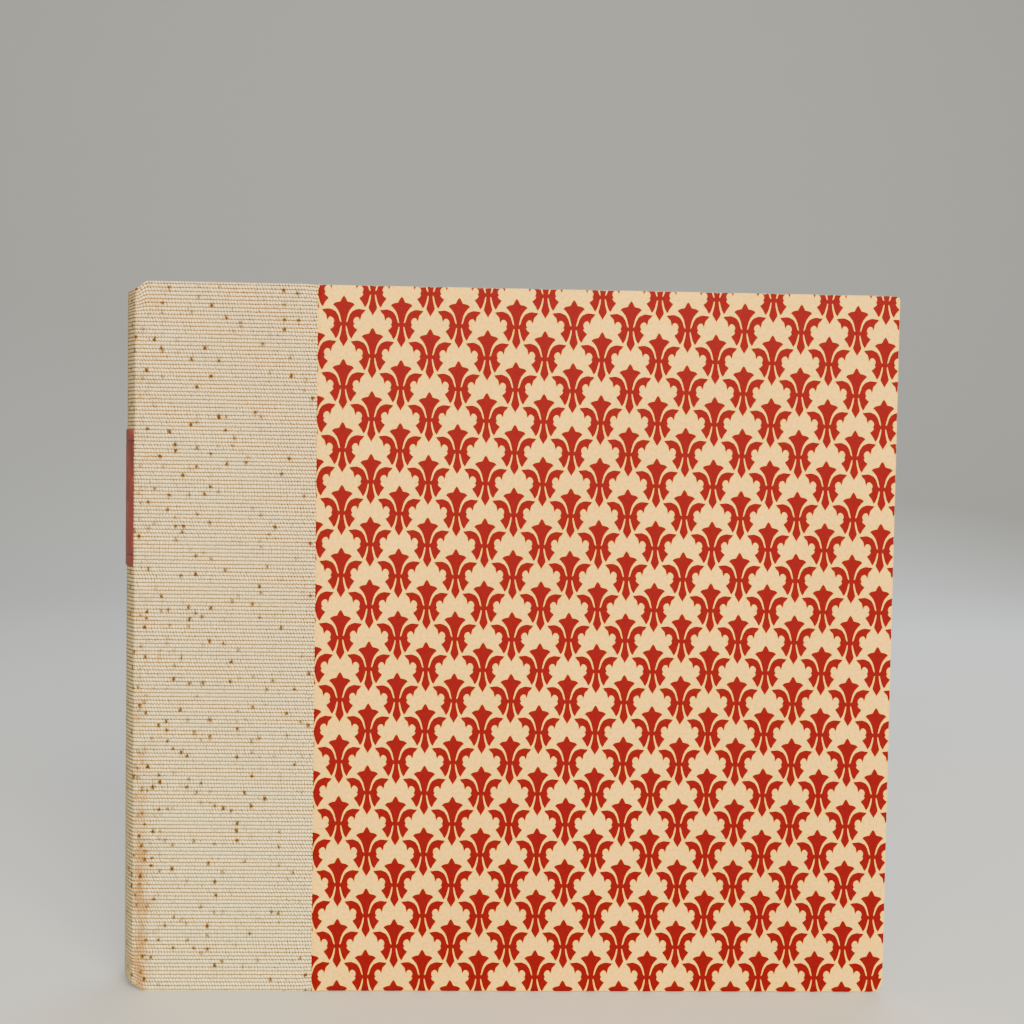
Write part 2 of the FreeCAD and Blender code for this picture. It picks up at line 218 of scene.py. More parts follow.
BLACK, WHITE = [0, 0, 0, 1], [1, 1, 1, 1]
COLOURS = {"out": 2, "data_type": "RGBA"}  # a mix of two colours, at inputs 6 and 7


# ---------------- the printed motif
# A lily of the kind used on decorated papers, as half-widths at each height. Heights are shares of one
# repeat down from the tip, and widths are shares of half a repeat across.
BUD = [(0, 0), (0.014, 0.033), (0.03, 0.066), (0.063, 0.102), (0.098, 0.14), (0.106, 0.235), (0.114, 0.3),
       (0.13, 0.358), (0.155, 0.392), (0.17, 0.345), (0.2, 0.285), (0.245, 0.212), (0.3, 0.16),
       (0.37, 0.122), (0.42, 0.1), (0.5, 0.086), (0.56, 0.098), (0.62, 0.128), (0.688, 0.168),
       (0.72, 0.14), (0.75, 0.1), (0.79, 0.045), (0.828, 0), (1, 0)]
PETAL_INNER = [(0, 1), (0.206, 1), (0.211, 0.5), (0.222, 0.42), (0.245, 0.315), (0.264, 0.27),
               (0.314, 0.2), (0.364, 0.165), (0.406, 0.138), (0.424, 0.11), (0.434, 0), (0.476, 0),
               (0.487, 0.102), (0.531, 0.127), (0.59, 0.16), (0.63, 0.19), (0.66, 0.225),
               (0.688, 0.27), (0.695, 1), (1, 1)]
PETAL_OUTER = [(0, 0), (0.205, 0.3), (0.209, 0.5), (0.217, 0.64), (0.226, 0.772), (0.247, 0.745),
               (0.272, 0.705), (0.3, 0.64), (0.322, 0.62), (0.356, 0.606), (0.38, 0.59), (0.402, 0.56),
               (0.405, 0.345), (0.43, 0.36), (0.456, 0.39), (0.477, 0.35), (0.498, 0.375),
               (0.519, 0.42), (0.537, 0.485), (0.561, 0.465), (0.594, 0.41), (0.623, 0.365),
               (0.657, 0.33), (0.688, 0.285), (0.695, 0), (1, 0)]
CURL_INNER = [(0, 1), (0.338, 1), (0.343, 0.47), (0.351, 0.42), (0.372, 0.375), (0.403, 0.345),
              (0.406, 1), (1, 1)]
CURL_OUTER = [(0, 0), (0.338, 0), (0.343, 0.47), (0.351, 0.51), (0.372, 0.545), (0.403, 0.556),
              (0.406, 0), (1, 0)]


def profile(new, height, points):
    """Half-width at a height, from a profile's points."""
    curve = new("FloatCurve", {"Value": height})
    mapping = curve.node.mapping
    line = mapping.curves[0]
    line.points[0].location = points[0]
    line.points[1].location = points[-1]
    for place in points[1:-1]:
        line.points.new(*place)
    for point in line.points:
        point.handle_type = "VECTOR"
    mapping.update()
    return curve


def motif_group():
    """A node group that gives 1 inside one printed lily and 0 outside it, with a slightly soft edge."""
    tree, new, given = new_group("printed_lily", "Shader", {"Across": "Float", "Down": "Float"},
                                 {"Ink": "Float"})
    across = new("Math FRACT", [given["Across"]])
    centred = new("Math SUBTRACT", [across, 0.5])
    half = new("Math ABSOLUTE", [centred])
    width = new("Math MULTIPLY", [half, 2.0])
    height = new("Math FRACT", [given["Down"]])
    inside = {}
    for name, points in (("bud", BUD), ("petal_inner", PETAL_INNER), ("petal_outer", PETAL_OUTER),
                         ("curl_inner", CURL_INNER), ("curl_outer", CURL_OUTER)):
        edge = profile(new, height, points)
        gap = new("Math SUBTRACT", [edge, width])
        inside[name] = new("MapRange", {"Value": gap, "From Min": 0.0, "From Max": 0.02})
    flipped = {name: new("Math SUBTRACT", [1.0, inside[name]]) for name in ("petal_inner", "curl_inner")}
    petal = new("Math MULTIPLY", [flipped["petal_inner"], inside["petal_outer"]])
    curl = new("Math MULTIPLY", [flipped["curl_inner"], inside["curl_outer"]])
    open_petal = new("Math SUBTRACT", [petal, curl], use_clamp=True)
    ink = new("Math MAXIMUM", [open_petal, inside["bud"]])
    new("NodeGroupOutput", [ink])
    return tree


# ---------------- materials
def printed_paper(settings):
    """Block-printed decorated paper: matt red ink on a mottled golden kraft ground, whose fibres show.
    The ink is uneven where the block was light."""
    material, new, shader = surface("printed_kraft_paper", IOR=1.45, Specular_IOR_Level=0.12)
    uv = new("TexCoord", out="UV")
    flat = new("SeparateXYZ", [uv]).node.outputs
    repeats = [new("Math DIVIDE", [flat[axis], step])
               for axis, step in enumerate((settings.repeat_across, settings.repeat_up))]
    group = motif_group()
    inks = []
    for drop in (0.0, 0.5):
        shifted = [new("Math ADD", [value, drop]) for value in repeats]
        inks.append(new("Group", node_tree=group))
        fill(inks[-1].node, shifted)
    ink = new("Math MAXIMUM", [inks[0], inks[1]])

    mottle = new("TexNoise", {"Vector": uv, "Scale": 700.0, "Detail": 4.0, "Roughness": 0.7})
    cloud = new("TexNoise", {"Vector": uv, "Scale": 14.0, "Detail": 3.0})
    fibre_uv = new("Mapping", {"Vector": uv, "Scale": (1.0, 5.0, 1.0)})
    fibre = new("TexNoise", {"Vector": fibre_uv, "Scale": 700.0, "Detail": 2.0})
    gold, crimson = linear(settings.ground), linear(settings.ink)
    ground = stops(new("ValToRGB", [mottle]),
                   (0.3, shade(gold, 0.74)),
                   (0.52, gold),
                   (0.72, shade(gold, 1.16)))
    clouded = new("MapRange", {"Value": cloud, "From Min": 0.3, "From Max": 0.7,
                               "To Min": 0.9, "To Max": 1.05})
    aged = new("VectorMath SCALE", {0: ground, "Scale": clouded})
    red = stops(new("ValToRGB", [mottle]),
                (0.25, shade(crimson, 0.82)),
                (0.5, crimson),
                (0.8, shade(crimson, 1.12)))
    printed = new("Mix", {"Factor": ink, 6: aged, 7: red}, **COLOURS)

    # Edges rub first: paper fibre shows pale along the head and fore edges.
    rub = new("Attribute", out="Fac", attribute_name="rub")
    scuff = new("TexNoise", {"Vector": uv, "Scale": 260.0, "Detail": 5.0, "Roughness": 0.75})
    worn = new("Math MULTIPLY", [rub, scuff])
    worn_mask = stops(new("ValToRGB", [worn]), (0.38, BLACK), (0.56, WHITE))
    bare = new("Mix", {"Factor": worn_mask, 6: printed, 7: linear("ecd9b4")}, **COLOURS)
    rough = new("MapRange", {"Value": ink, "To Min": 0.82, "To Max": 0.6})
    fill(shader, {"Base Color": bare, "Roughness": rough})
    inked = new("Math MULTIPLY", [ink, 0.35])
    height = new("Math ADD", [fibre, inked])
    relief(shader, height, 0.04 * MM)
    return material


def ribbed_cloth(settings):
    """Ribbed cotton book cloth, woven with a thick weft: matt cream threads, lit on the crests, with
    painted shade in the grooves between them, a slanting step, lit and shaded in paint, where each warp
    thread crosses a rib, and rust-brown foxing from damp."""
    material, new, shader = surface("ribbed_cotton_cloth", Roughness=0.92, IOR=1.45,
                                    Specular_IOR_Level=0.15, Sheen_Weight=0.06, Sheen_Roughness=0.5)
    uv = new("TexCoord", out="UV")
    flat = new("SeparateXYZ", [uv]).node.outputs
    rib = new("Math DIVIDE", [flat[1], settings.rib_pitch])
    step = new("Math DIVIDE", [flat[0], settings.slub_length])
    turned = new("Math MULTIPLY", [rib, pi])
    wave = new("Math COSINE", [turned])
    crest = new("Math ABSOLUTE", [wave])
    # A float leans across its rib, and each rib starts at its own place.
    row = new("Math ADD", [rib, 0.5])
    row_index = new("Math FLOOR", [row])
    start = new("TexWhiteNoise", {"W": row_index}, noise_dimensions="1D")
    lean = new("Math MULTIPLY", [rib, 0.55])
    slanted = new("Math ADD", [step, lean])
    placed = new("Math ADD", [slanted, start])
    jitter = new("TexNoise", {"Vector": uv, "Scale": 900.0, "Detail": 1.0})
    loose = new("Math ADD", [placed, jitter])
    slub_turn = new("Math MULTIPLY", [loose, pi])
    slub_wave = new("Math SINE", [slub_turn])
    slub = new("Math ABSOLUTE", [slub_wave])
    thread = new("Math MULTIPLY", [crest, slub])

    fleck = new("TexNoise", {"Vector": uv, "Scale": 1500.0, "Detail": 2.0})
    # The tone paints the ribs' light and shade: lit crests and floats, with painted shade in the grooves
    # and between the floats.
    broad = new("Math POWER", [crest, 0.55])
    float_shading = new("MapRange", {"Value": slub, "To Min": 0.32, "To Max": 1.08})
    lit = new("Math MULTIPLY", [broad, float_shading])
    specked = new("Math MULTIPLY", [fleck, 0.3])
    raised = new("Math ADD", [lit, specked])
    tone = new("Math SUBTRACT", [raised, 0.1])
    crest_colour, groove_shade_colour = linear(settings.crest), linear(settings.groove)
    middle = [0.4 * a + 0.6 * b for a, b in zip(groove_shade_colour, crest_colour)]
    cloth = stops(new("ValToRGB", [tone]), (0.34, groove_shade_colour), (0.6, middle), (0.88, crest_colour))

    # The cloth is tinted pinker and darker towards the head, in clouds; the stain along the joint follows
    # below.
    place = new("TexCoord", out="Object")
    up = new("SeparateXYZ", [place], out="Z")
    upward = new("MapRange", {"Value": up, "From Min": 0.0, "From Max": HEAD})
    drift = new("TexNoise", {"Vector": place, "Scale": 9.0, "Detail": 3.0})
    pinker = new("Math MULTIPLY", [upward, drift])
    head_tint = new("Mix", {"Factor": pinker, 6: linear("fffbea"), 7: linear("e6c4b4")}, **COLOURS)
    toned = new("Mix", {"Factor": 1.0, 6: cloth, 7: head_tint}, **COLOURS, blend_type="MULTIPLY")
    # The spine is painted darker than the covers from the joint on: painted shade, where it turns away from
    # the light.
    from_crown = new("Math ABSOLUTE", [flat[0]])
    painted_spine_shade = new("MapRange", {"Value": from_crown, "From Min": SPINE_ARC - 0.9 * MM,
                                  "From Max": SPINE_ARC + 0.2 * MM, "To Min": 0.52, "To Max": 1.0})
    toned = new("VectorMath SCALE", {0: toned, "Scale": painted_spine_shade})

    # Foxing: small specks in loose clusters, denser near the spine, each soaked along its rib.
    spot_uv = new("Mapping", {"Vector": uv, "Scale": (1.0, 0.8, 1.0)})
    rag = new("TexNoise", {"Vector": uv, "Scale": 600.0, "Detail": 3.0}, out="Color")
    ragged = new("Mix", {"Factor": 0.0014, 4: spot_uv, 5: rag}, out=1, data_type="VECTOR")
    cells = new("TexVoronoi", {"Vector": ragged, "Scale": 330.0}, out="Distance")
    chosen = new("SeparateColor", [cells.node.outputs["Color"]])
    cluster = new("TexNoise", {"Vector": uv, "Scale": 55.0, "Detail": 3.0, "Roughness": 0.6})
    edgeward = new("Attribute", out="Fac", attribute_name="damp")
    sparse = new("Math MULTIPLY_ADD", [cluster, 1.1, -0.31])
    damp = new("Math MULTIPLY_ADD", [edgeward, 2.4, sparse])
    rare = new("Math SUBTRACT", [damp, chosen])
    taken = new("MapRange", {"Value": rare, "From Min": 0.0, "From Max": 0.12})
    core = new("MapRange", {"Value": cells, "From Min": 0.38, "From Max": 0.16})
    spots = new("Math MULTIPLY", [taken, core])
    halo = new("MapRange", {"Value": cells, "From Min": 0.6, "From Max": 0.1, "To Max": 0.3})
    ring = new("Math MULTIPLY", [taken, halo])
    stain_noise = new("TexNoise", {"Vector": uv, "Scale": 120.0, "Detail": 5.0, "Roughness": 0.7})
    stain_sum = new("Math ADD", [stain_noise, edgeward])
    stain = new("MapRange", {"Value": stain_sum, "From Min": 0.66, "From Max": 0.98, "To Max": 0.75})
    stained = new("Mix", {"Factor": stain, 6: toned, 7: linear(settings.stain)}, **COLOURS)
    marks = new("Math MAXIMUM", [spots, ring])
    foxed = new("Mix", {"Factor": marks, 6: stained, 7: linear(settings.foxing)}, **COLOURS)
    fill(shader, {"Base Color": foxed})
    relief(shader, thread, 0.2 * MM)
    return material


def label_leather(settings):
    """Skiver leather, dyed oxblood and rubbed: a fine pebbled grain with a low waxy sheen, browner
    where hands have worn the dye."""
    material, new, shader = surface("oxblood_skiver_leather", IOR=1.5)
    place = new("TexCoord", out="Object")
    grain = new("TexVoronoi", {"Vector": place, "Scale": 1400.0}, out="Distance")
    wear = new("TexNoise", {"Vector": place, "Scale": 120.0, "Detail": 5.0, "Roughness": 0.7})
    dark, worn = linear(settings.leather), linear("8c4a33")
    hide = stops(new("ValToRGB", [wear]), (0.3, shade(dark, 0.6)), (0.55, dark), (0.78, worn))
    groove = new("Attribute", out="Fac", attribute_name="tooled")
    tooled = new("Mix", {"Factor": groove, 6: hide, 7: linear("2a0f0c")}, **COLOURS)
    rough = new("MapRange", {"Value": wear, "To Min": 0.38, "To Max": 0.62})
    fill(shader, {"Base Color": tooled, "Roughness": rough})
    relief(shader, grain, 0.06 * MM)
    return material


def card_stock(name, hex_colour, edge_hex, grain, depth):
    """Sized paper or card, calendered smooth: matt, with short fibres mottled towards a darker tone."""
    material, new, shader = surface(name, Roughness=0.85, IOR=1.45)
    place = new("TexCoord", out="Object")
    fibre = new("TexNoise", {"Vector": place, "Scale": grain, "Detail": 4.0, "Roughness": 0.7})
    cloud = new("TexNoise", {"Vector": place, "Scale": 9.0, "Detail": 4.0})
    tone = new("MapRange", {"Value": cloud, "To Min": 0.5, "To Max": 0.72})
    mixed = new("Math MULTIPLY", [fibre, tone])
    body, edge = linear(hex_colour), linear(edge_hex)
    colour = stops(new("ValToRGB", [mixed]), (0.12, edge), (0.3, body), (0.5, shade(body, 1.06)))
    fill(shader, {"Base Color": colour})
    relief(shader, fibre, depth)
    return material


def gauze_weave():
    """Starched cotton mull: an open plain weave, matt, stiff with brown glue."""
    material, new, shader = surface("starched_cotton_mull", Roughness=0.9, IOR=1.45)
    place = new("TexCoord", out="Object")
    weave = new("TexChecker", {"Vector": place, "Scale": 900.0,
                               "Color1": linear("d8cba8"), "Color2": linear("a58c60")})
    fill(shader, {"Base Color": weave})
    return material


def dyed_thread(name, hex_colour):
    """Twisted and waxed thread: soft gloss along fine slanting plies, with painted shade between them."""
    material, new, shader = surface(name, Roughness=0.5, IOR=1.5, Sheen_Weight=0.3)
    place = new("TexCoord", out="Object")
    ply = new("TexWave", {"Vector": place, "Scale": 900.0, "Distortion": 1.0},
              bands_direction="DIAGONAL", out="Fac")
    body = linear(hex_colour)
    # The darker bands between the plies are painted shade.
    colour = stops(new("ValToRGB", [ply]), (0.1, shade(body, 0.6)), (0.7, body))
    fill(shader, {"Base Color": colour})
    return material


# ---------------- mesh building
DRAWN_IN = 14 * MM  # length of covering that closes up where an end is drawn in


def declare(piece, slot, node, *bodies, seam=None):
    """Hides the CAD node that a piece stands for, if there is one, and puts the piece on its body. A piece
    with a seam is left where it was built, on no body. The slot is not used."""
    if node:
        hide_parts(node)
    if seam:
        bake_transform(piece)
    else:
        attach(piece, *bodies)


def add_object(name, data):
    """A new object in the scene, at the origin, for a mesh, lamp or camera."""
    made = bpy.data.objects.new(name, data)
    bpy.context.scene.collection.objects.link(made)
    return made


def mesh_object(name, points, faces, material, smooth_below=40.0):
    """An object at the origin from points and faces, smooth but for edges sharper than an angle."""
    mesh = bpy.data.meshes.new(name)
    mesh.from_pydata(points, [], faces)
    mesh.update()
    mesh.shade_smooth()
    mesh.set_sharp_from_angle(angle=radians(smooth_below))
    mesh.materials.append(material)
    return add_object(name, mesh)


def section(station, rows, edge, height):
    """One closed section of a covered board: points, distance along the section and way out."""
    out, depth = station["out"], station["depth"]
    foot = station["point"] + Vector((0, 0, station["base"]))
    low, high = station["low"] - station["base"], station["high"] - station["base"]
    turns = [radians(a) for a in (0, 22.5, 45, 67.5, 90)]
    points, along, ways = [], [], []

    def put(inward, z, way_out, way_up):
        points.append(foot - out * inward + Vector((0, 0, z)))
        ways.append(out * way_out + Vector((0, 0, way_up)))

    def corner(inward, z, quarters, angles, start):
        for a in angles:
            way_out = cos(a + quarters * pi / 2)
            way_up = sin(a + quarters * pi / 2)
            put(inward - edge * way_out, z + edge * way_up, way_out, way_up)
            along.append(start + edge * a)

    for z in rows:
        lift = (low * (1 - min(1.0, (z - edge) / DRAWN_IN))
                - (height - high) * (1 - min(1.0, (height - edge - z) / DRAWN_IN)))
        put(0.0, z + lift, 1.0, 0.0)
        along.append(z)
    quarter = edge * pi / 2
    corner(edge, high - edge, 0, turns[1:], height - edge)
    corner(depth - edge, high - edge, 1, turns[:-1], height - edge + quarter + depth - 2 * edge)
    turn = height - 2 * edge + 2 * quarter + depth - 2 * edge
    for share in (0.0, 0.02, 0.06, 0.5, 0.94, 0.98, 1.0):
        put(depth, high - edge - share * (high - low - 2 * edge), -1.0, 0.0)
        along.append(turn + edge + share * (high - low))
    corner(depth - edge, low + edge, 2, turns[1:], edge - depth - quarter)
    corner(edge, low + edge, 3, turns[:-1], edge - quarter)
    return points, along, ways


def covered_board(name, stations, rows, edge, height, material):
    """A closed skin round a board, from sections along its path, with UVs unfolded to real size."""
    points, along, ways, faces, uvs = [], [], [], [], []
    for station in stations:
        ring = section(station, rows, edge, height)
        points += ring[0]
        along += ring[1]
        ways += ring[2]
    count = len(points) // len(stations)
    for i in range(len(stations) - 1):
        for j in range(count):
            k = (j + 1) % count
            a, b = i * count + j, i * count + k
            c, d = a + count, b + count
            faces.append((a, c, d, b))
            left, right = stations[i]["u"], stations[i + 1]["u"]
            v0, v1 = along[j], along[k]
            if k == 0:
                v0, v1 = along[k] - edge * 0.4, along[k]
            elif abs(v1 - v0) > height / 2:
                v1 = v0
            uvs += [(left, v0), (right, v0), (right, v1), (left, v1)]
    for i, order in ((0, 1), (len(stations) - 1, -1)):
        ring = list(range(i * count, (i + 1) * count))[::order]
        faces.append(ring)
        out, foot = stations[i]["out"], stations[i]["point"]
        for index in ring:
            inward = (foot - points[index]).dot(out)
            uvs.append((stations[i]["u"] - order * inward, points[index].z))
    piece = mesh_object(name, points, faces, material)
    layer = piece.data.uv_layers.new(name="UVMap")
    layer.data.foreach_set("uv", [value for uv in uvs for value in uv])
    outward = piece.data.attributes.new("outward", "FLOAT_VECTOR", "POINT")
    outward.data.foreach_set("vector", [value for way in ways for value in way])
    across = piece.data.attributes.new("across", "FLOAT", "POINT")
    across.data.foreach_set("value", along)
    return piece


def set_points(piece, name, rule):
    """Stores a number on each point of a piece, worked out from the point's place."""
    layer = piece.data.attributes.new(name, "FLOAT", "POINT")
    layer.data.foreach_set("value", [rule(vertex.co) for vertex in piece.data.vertices])


def rib_tree():
    """Geometry nodes that press ribs into a skin, from its stored distance across them."""
    tree, new, given = new_group("cloth_ribs", "Geometry", {"Geometry": "Geometry", "Pitch": "Float",
                                                            "Depth": "Float", "Material": "Material"},
                                 {"Geometry": "Geometry"})
    across = new("GeometryNodeInputNamedAttribute", {"Name": "across"}, data_type="FLOAT")
    outward = new("GeometryNodeInputNamedAttribute", {"Name": "outward"}, data_type="FLOAT_VECTOR")
    ribs = new("Math DIVIDE", [across, given["Pitch"]])
    turned = new("Math MULTIPLY", [ribs, pi])
    wave = new("Math COSINE", [turned])
    crest = new("Math ABSOLUTE", [wave])
    rounded = new("Math POWER", [crest, 0.7])
    sunk = new("Math SUBTRACT", [rounded, 0.75])
    push = new("Math MULTIPLY", [sunk, given["Depth"]])
    offset = new("VectorMath SCALE", {0: outward, "Scale": push})
    pressed = new("GeometryNodeSetPosition", {"Geometry": given["Geometry"], "Offset": offset})
    real = new("GeometryNodeRealizeInstances", {"Geometry": pressed})
    done = new("GeometryNodeSetMaterial", {"Geometry": real, "Material": given["Material"]})
    new("NodeGroupOutput", [done])
    return tree


def bake(piece, tree, **inputs):
    """Runs a geometry node tree on a piece and keeps the result as its plain mesh."""
    modifier = piece.modifiers.new("pattern", "NODES")
    modifier.node_group = tree
    sockets = {item.name: item.identifier for item in tree.interface.items_tree if item.in_out == "INPUT"}
    for name, value in inputs.items():
        modifier[sockets[name]] = value
    evaluated = piece.evaluated_get(bpy.context.evaluated_depsgraph_get())
    made = bpy.data.meshes.new_from_object(evaluated)
    piece.modifiers.remove(modifier)
    piece.data = made


def band_tree():
    """Geometry nodes that wind silk turns of two colours round a cord, along an edge path."""
    tree, new, given = new_group("wound_band", "Geometry",
                                 {"Geometry": "Geometry", "Turn pitch": "Float", "Cord radius": "Float",
                                  "Silk radius": "Float", "Turns per stripe": "Int",
                                  "Pale silk": "Material", "Dark silk": "Material"},
                                 {"Geometry": "Geometry"})
    path = new("GeometryNodeMeshToCurve", {"Mesh": given["Geometry"]})
    cord = new("GeometryNodeCurvePrimitiveCircle", {"Radius": given["Cord radius"], "Resolution": 12})
    core = new("GeometryNodeCurveToMesh", {"Curve": path, "Profile Curve": cord, "Fill Caps": True})
    spaced = new("GeometryNodeResampleCurve", {"Curve": path, "Length": given["Turn pitch"]},
                 mode="LENGTH")
    points = new("GeometryNodeCurveToPoints", {"Curve": spaced}, mode="EVALUATED").node
    silk = new("GeometryNodeCurvePrimitiveCircle", {"Radius": given["Silk radius"], "Resolution": 6})
    turn = new("GeometryNodeCurveToMesh", {"Curve": cord, "Profile Curve": silk})
    wound = new("GeometryNodeInstanceOnPoints", {"Points": points.outputs["Points"],
                                                 "Instance": turn,
                                                 "Rotation": points.outputs["Rotation"]})
    index = new("GeometryNodeInputIndex")
    group = new("Math DIVIDE", [index, given["Turns per stripe"]])
    whole = new("Math FLOOR", [group])
    odd = new("Math MODULO", [whole, 2.0])
    striped = new("GeometryNodeStoreNamedAttribute",
                  {"Geometry": wound, "Name": "stripe", "Value": odd}, domain="INSTANCE")
    joined = new("GeometryNodeJoinGeometry", [core])
    fill(joined.node, [striped])
    real = new("GeometryNodeRealizeInstances", {"Geometry": joined})
    pale = new("GeometryNodeSetMaterial", {"Geometry": real, "Material": given["Pale silk"]})
    stripe = new("GeometryNodeInputNamedAttribute", {"Name": "stripe"}, data_type="FLOAT")
    dark_part = new("FunctionNodeCompare", {"A": stripe, "B": 0.5}, operation="GREATER_THAN")
    done = new("GeometryNodeSetMaterial", {"Geometry": pale, "Selection": dark_part,
                                           "Material": given["Dark silk"]})
    new("NodeGroupOutput", [done])
    return tree


# ---------------- outlines that several pieces share
def station(x, y, out, depth, low, high, u, base=0.0):
    """A place on a covering's path, with its ends above base, where the sheet's own tail edge lies."""
    return {"point": Vector((x, y, 0)), "out": Vector(out).normalized(), "depth": depth,
            "low": low, "high": high, "u": u, "base": base}


def even_rows(edge, height, count, close=()):
    """Heights between the rounded edges, evenly spread, with extra ones close to both ends."""
    span = height - 2 * edge
    inner = [edge + span * k / count for k in range(count + 1)]
    return sorted(set(inner + [edge + c for c in close] + [height - edge - c for c in close]))


def ease(value):
    """Smooth step from 0 to 1."""
    value = min(1.0, max(0.0, value))
    return value * value * (3 - 2 * value)


CLOTH_EDGE = 0.8 * MM  # radius of the cloth where it turns over a board's edge
FOLD = 1.4 * MM  # half the length of the soft fold where spine meets cover
SPINE_SHORT = SPINE_LOW.z  # spine shorter than the covers, at each end
NIP_REACH = 5.0 * MM  # cloth drawn in over the nipped corner, from the joint
NIP_DROP = 3.0 * MM  # how far the cloth is drawn in there
LAP = PAPER_LOW.x - JOINT_X  # cloth that shows on a cover
SPINE_ARC = SPINE_R * SPINE_HALF_ANGLE
JOINT_SOFT = 1.7 * MM  # half the width over which the cloth gives at a cover's joint
CREASE_SOFT = 0.6 * MM  # the same, at a leaf's crease


def cloth_end(along):
    """How far the cloth stops short of the head and tail, at a distance along the path from the joint."""
    if along < 0:
        return SPINE_SHORT + (NIP_DROP - SPINE_SHORT) * ease(1 + along / (5 * MM))
    return NIP_DROP * (1 - ease(along / NIP_REACH))


def path_place(along):
    """Point and way out of the front half of the cloth's path, by distance from the joint."""
    def on_arc(distance):
        angle = SPINE_HALF_ANGLE + distance / SPINE_R
        out = Vector((-cos(angle), -sin(angle), 0))
        return Vector((SPINE_X, 0, 0)) + out * SPINE_R, out

    def on_cover(distance):
        return Vector((JOINT_X + distance, -CLOTH_Y, 0)), Vector((0, -1, 0))

    if along <= -FOLD:
        return on_arc(along)
    if along >= FOLD:
        return on_cover(along)
    share = (along + FOLD) / (2 * FOLD)
    start, first_out = on_arc(-FOLD)
    end, last_out = on_cover(FOLD)
    corner = Vector((JOINT_X, -CLOTH_Y, 0))
    point = start * (1 - share) ** 2 + corner * 2 * share * (1 - share) + end * share ** 2
    return point, first_out.lerp(last_out, share).normalized()


SPINE_DEPTH = 1.78 * MM  # cloth, liner and turned-in cloth together
UNDER_LAP = 0.6 * MM  # cloth stops this far short of the ends where the paper laps over it


def cloth_station(along, side):
    """One section of the cloth on a cover or over its joint."""
    point, out = path_place(along)
    cover_depth = CLOTH_Y - TURN_IN_Y
    depth = SPINE_DEPTH + (cover_depth - SPINE_DEPTH) * ease((along + 0.5 * MM) / (1.5 * MM))
    short = cloth_end(along)
    if along > LAP + 0.1 * MM:
        short = UNDER_LAP
    mirrored = (out.x, -out.y * side, 0)
    return station(point.x, -point.y * side, mirrored, depth, short, HEAD - short,
                   -side * (SPINE_ARC + along))


def rib_rows(pitch, edge, height):
    """Six heights to each rib, so that its crest is round and its groove is sharp."""
    step = pitch / 6
    first = ceil(edge / step)
    last = int((height - edge) / step)
    return [edge] + [k * step for k in range(first + 1, last)] + [height - edge]


# ---------------- the pieces
TIDE_MARK = 3.0 * MM  # from the joint to the middle of the damp stain
TIDE_WIDTH = 3.2 * MM  # over which the stain fades, on both sides of its middle
TIDE_TOP = 0.55 * HEAD  # highest place the stain reaches
DAMP_REACH = 22 * MM  # over which general damp fades, away from the joint


def damp_of(point):
    """How damp has spread in the cloth: most along the joint, and low down."""
    from_joint = abs(point.x - JOINT_X - TIDE_MARK)
    low_down = 1 - ease(point.z / TIDE_TOP)
    tide = low_down * exp(-(from_joint / TIDE_WIDTH) ** 2)
    return 0.16 * exp(-from_joint / DAMP_REACH) + 0.36 * tide


class ALBUM_OT_cloth(bpy.types.Operator):
    """Cover the spine and the near quarter of both boards with ribbed cloth"""
    bl_idname = "album.cloth"
    bl_label = "Ribbed cloth"

    def execute(self, context):
        settings = context.scene.album_cloth
        material = ribbed_cloth(settings)
        rows = rib_rows(settings.rib_pitch, CLOTH_EDGE, HEAD)
        tree = rib_tree()

        def lay(name, stations, flip, node, *bodies, **where):
            piece = covered_board(name, stations, rows, CLOTH_EDGE, HEAD, material)
            if flip:
                piece.data.flip_normals()
            bake(piece, tree, Pitch=settings.rib_pitch, Depth=settings.rib_depth, Material=material)
            set_points(piece, "damp", damp_of)
            declare(piece, "ribbed_cloth", node, *bodies, **where)

        folds = [k * 0.35 * MM for k in range(-5, 8)]
        flats = [3.2 * MM, 4.2 * MM, 5.5 * MM, 8 * MM]
        flats += [(8 + k * 7.1) * MM for k in range(1, 11)]
        for side_name, side in SIDES.items():
            stations = [cloth_station(along, side) for along in folds + flats + [LAP + 3.9 * MM]]
            seam = [(JOINT_X + reach, side * CLOTH_Y, 0) for reach in (-JOINT_SOFT, JOINT_SOFT)]
            lay(f"{side_name}_quarter_cloth", stations, side > 0, f"{side_name}_cloth", "book_block",
                f"{side_name}_cover", seam=seam)
        reach = SPINE_ARC + folds[0]
        count = 28
        stations = []
        for k in range(count + 1):
            u = -reach + 2 * reach * k / count
            angle = u / SPINE_R
            out = (-cos(angle), -sin(angle), 0)
            short = cloth_end(abs(u) - SPINE_ARC)
            stations.append(station(SPINE_X + out[0] * SPINE_R, out[1] * SPINE_R, out, SPINE_DEPTH,
                                    short, HEAD - short, u))
        lay("spine_cloth_cover", stations, False, "spine_cloth", "book_block")
        return {"FINISHED"}


